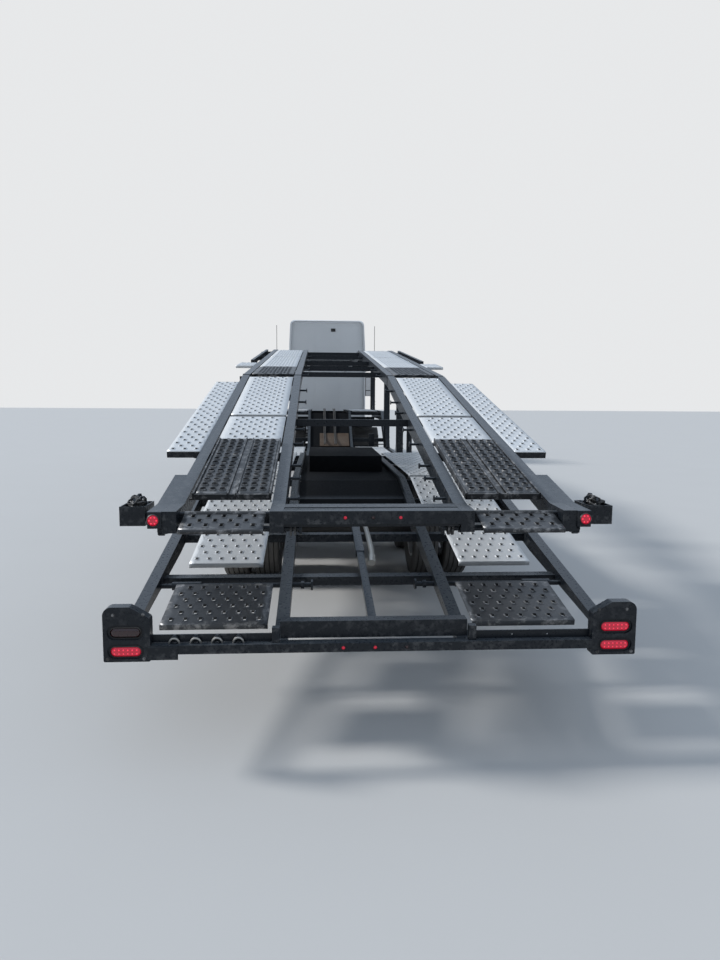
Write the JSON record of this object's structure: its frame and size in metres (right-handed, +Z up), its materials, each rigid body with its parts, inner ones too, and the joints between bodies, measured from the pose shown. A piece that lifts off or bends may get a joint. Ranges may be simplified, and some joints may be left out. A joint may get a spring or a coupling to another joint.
{
  "type": "car transporter truck, sleeper tractor with two-deck open semitrailer",
  "caption": "Articulated car transporter: sleeper tractor hinged to a two-deck open semitrailer with perforated runways, sloping tail, ramps and lift cylinders.",
  "frame": {"origin": "on the ground at mid length and mid width, under the vehicle's bounding box", "axes": "+Y forward towards the tractor's nose, +X to the vehicle's right, +Z up"},
  "size_m": [3.324, 22.506, 4.25],
  "materials": {
    "frame_paint": "gloss",
    "plate_aluminium": "satin",
    "black_plate": "satin",
    "tyre": "matte",
    "rim_steel": "satin",
    "axle_iron": "matte",
    "cab_paint": "gloss",
    "glass": "gloss",
    "lamp_red": "gloss",
    "lamp_clear": "gloss",
    "chrome": "polished",
    "bumper_paint": "gloss",
    "tank_aluminium": "polished",
    "interior_plastic": "matte",
    "cylinder_steel": "satin",
    "black_plastic": "matte"
  },
  "bodies": {
    "tractor": {"tractor_frame": "axle_iron", "fifth_wheel": "axle_iron", "tractor_axles": "axle_iron", "cab_shell": "cab_paint", "sleeper_shell": "cab_paint", "cab_glass": "glass", "cab_interior": "interior_plastic", "front_bumper": "bumper_paint", "tanks_and_steps": "tank_aluminium", "engine_block": "axle_iron", "mirrors": "black_plastic", "drive_fenders": "black_plastic"},
    "hood": {"hood_shell": "cab_paint", "headlamps": "lamp_clear", "grille": "chrome"},
    "trailer": {"trailer_frame": "frame_paint", "trailer_axles": "axle_iron", "rear_bumper": "frame_paint", "tail_lamps": "lamp_red", "lower_deck_plates": "plate_aluminium", "lower_tail_plates": "black_plate", "front_deck_frame": "frame_paint", "front_deck_plates": "plate_aluminium", "deck_posts": "frame_paint"},
    "mid_deck": {"mid_deck_frame": "frame_paint", "mid_deck_plates": "plate_aluminium"},
    "rear_deck": {"rear_deck_frame": "frame_paint", "rear_deck_plates": "plate_aluminium", "loading_ramps": "black_plate", "rear_deck_lamps": "lamp_red"},
    "lift_barrels": {"lift_barrels": "frame_paint"},
    "lift_rods": {"lift_rods": "cylinder_steel"},
    "door_left": {"door_left": "cab_paint", "door_glass_left": "glass"},
    "knuckle_left": {"knuckle_left": "axle_iron"},
    "steer_wheel_left": {"steer_tyre_left": "tyre", "steer_rim_left": "rim_steel"},
    "tail_flap_left": {"tail_flap_left": "black_plate"},
    "drive1_wheels_left": {"drive1_tyres_left": "tyre", "drive1_rims_left": "rim_steel"},
    "drive2_wheels_left": {"drive2_tyres_left": "tyre", "drive2_rims_left": "rim_steel"},
    "trailer1_wheels_left": {"trailer1_tyres_left": "tyre", "trailer1_rims_left": "rim_steel"},
    "trailer2_wheels_left": {"trailer2_tyres_left": "tyre", "trailer2_rims_left": "rim_steel"},
    "door_right": {"door_right": "cab_paint", "door_glass_right": "glass"},
    "knuckle_right": {"knuckle_right": "axle_iron"},
    "steer_wheel_right": {"steer_tyre_right": "tyre", "steer_rim_right": "rim_steel"},
    "tail_flap_right": {"tail_flap_right": "black_plate"},
    "drive1_wheels_right": {"drive1_tyres_right": "tyre", "drive1_rims_right": "rim_steel"},
    "drive2_wheels_right": {"drive2_tyres_right": "tyre", "drive2_rims_right": "rim_steel"},
    "trailer1_wheels_right": {"trailer1_tyres_right": "tyre", "trailer1_rims_right": "rim_steel"},
    "trailer2_wheels_right": {"trailer2_tyres_right": "tyre", "trailer2_rims_right": "rim_steel"}
  },
  "joints": [
    {"name": "trailer_yaw", "type": "hinge", "parent": "tractor", "child": "trailer", "pos_m": [0, 4, 1.22], "axis": [0, 0, 1], "range_deg": [-75, 75]},
    {"name": "hood_tilt", "type": "hinge", "parent": "tractor", "child": "hood", "pos_m": [0, 11.15, 0.8], "axis": [-1, 0, 0], "range_deg": [0, 70]},
    {"name": "mid_deck_lift", "type": "hinge", "parent": "trailer", "child": "mid_deck", "pos_m": [0, -1.85, 2.585], "axis": [-1, 0, 0], "range_deg": [0, 10]},
    {"name": "rear_deck_fold", "type": "hinge", "parent": "mid_deck", "child": "rear_deck", "pos_m": [0, -7.13, 1.956], "axis": [-1, 0, 0], "range_deg": [0, 12]},
    {"name": "lift_barrel_pivot", "type": "hinge", "parent": "trailer", "child": "lift_barrels", "pos_m": [0, -3.25, 0.78], "axis": [1, 0, 0], "range_deg": [0, 1]},
    {"name": "lift_rod_slide", "type": "slide", "parent": "lift_barrels", "child": "lift_rods", "axis": [0, -0.0333, 0.9994], "range_m": [0, 0.27]},
    {"name": "door_left_hinge", "type": "hinge", "parent": "tractor", "child": "door_left", "pos_m": [-1.08, 9.394, 1.9], "axis": [0, 0, -1], "range_deg": [0, 70]},
    {"name": "steer_left", "type": "hinge", "parent": "tractor", "child": "knuckle_left", "pos_m": [-0.87, 10, 0.51], "axis": [0, 0, 1], "range_deg": [-38, 38]},
    {"name": "steer_wheel_left_spin", "type": "hinge", "parent": "knuckle_left", "child": "steer_wheel_left", "pos_m": [-1.03, 10, 0.51], "axis": [1, 0, 0], "continuous": true},
    {"name": "tail_flap_left_hinge", "type": "hinge", "parent": "rear_deck", "child": "tail_flap_left", "pos_m": [-0.75, -10.95, 1.17], "axis": [-1, 0, 0], "range_deg": [0, 110]},
    {"name": "drive1_wheels_left_spin", "type": "hinge", "parent": "tractor", "child": "drive1_wheels_left", "pos_m": [-0.92, 3.34, 0.51], "axis": [1, 0, 0], "continuous": true},
    {"name": "drive2_wheels_left_spin", "type": "hinge", "parent": "tractor", "child": "drive2_wheels_left", "pos_m": [-0.92, 4.66, 0.51], "axis": [1, 0, 0], "continuous": true},
    {"name": "trailer1_wheels_left_spin", "type": "hinge", "parent": "trailer", "child": "trailer1_wheels_left", "pos_m": [-0.92, -7.5, 0.465], "axis": [1, 0, 0], "continuous": true},
    {"name": "trailer2_wheels_left_spin", "type": "hinge", "parent": "trailer", "child": "trailer2_wheels_left", "pos_m": [-0.92, -6.25, 0.465], "axis": [1, 0, 0], "continuous": true},
    {"name": "door_right_hinge", "type": "hinge", "parent": "tractor", "child": "door_right", "pos_m": [1.08, 9.394, 1.9], "axis": [0, 0, 1], "range_deg": [0, 70]},
    {"name": "steer_right", "type": "hinge", "parent": "tractor", "child": "knuckle_right", "pos_m": [0.87, 10, 0.51], "axis": [0, 0, 1], "range_deg": [-38, 38]},
    {"name": "steer_wheel_right_spin", "type": "hinge", "parent": "knuckle_right", "child": "steer_wheel_right", "pos_m": [1.03, 10, 0.51], "axis": [1, 0, 0], "continuous": true},
    {"name": "tail_flap_right_hinge", "type": "hinge", "parent": "rear_deck", "child": "tail_flap_right", "pos_m": [0.75, -10.95, 1.17], "axis": [-1, 0, 0], "range_deg": [0, 110]},
    {"name": "drive1_wheels_right_spin", "type": "hinge", "parent": "tractor", "child": "drive1_wheels_right", "pos_m": [0.92, 3.34, 0.51], "axis": [1, 0, 0], "continuous": true},
    {"name": "drive2_wheels_right_spin", "type": "hinge", "parent": "tractor", "child": "drive2_wheels_right", "pos_m": [0.92, 4.66, 0.51], "axis": [1, 0, 0], "continuous": true},
    {"name": "trailer1_wheels_right_spin", "type": "hinge", "parent": "trailer", "child": "trailer1_wheels_right", "pos_m": [0.92, -7.5, 0.465], "axis": [1, 0, 0], "continuous": true},
    {"name": "trailer2_wheels_right_spin", "type": "hinge", "parent": "trailer", "child": "trailer2_wheels_right", "pos_m": [0.92, -6.25, 0.465], "axis": [1, 0, 0], "continuous": true}
  ],
  "couplings": [
    {"joint": "steer_right", "follows": "steer_left", "ratio": 1},
    {"joint": "lift_barrel_pivot", "follows": "mid_deck_lift", "ratio": 0.0879},
    {"joint": "lift_rod_slide", "follows": "mid_deck_lift", "m_per_rad": 1.4751}
  ]
}
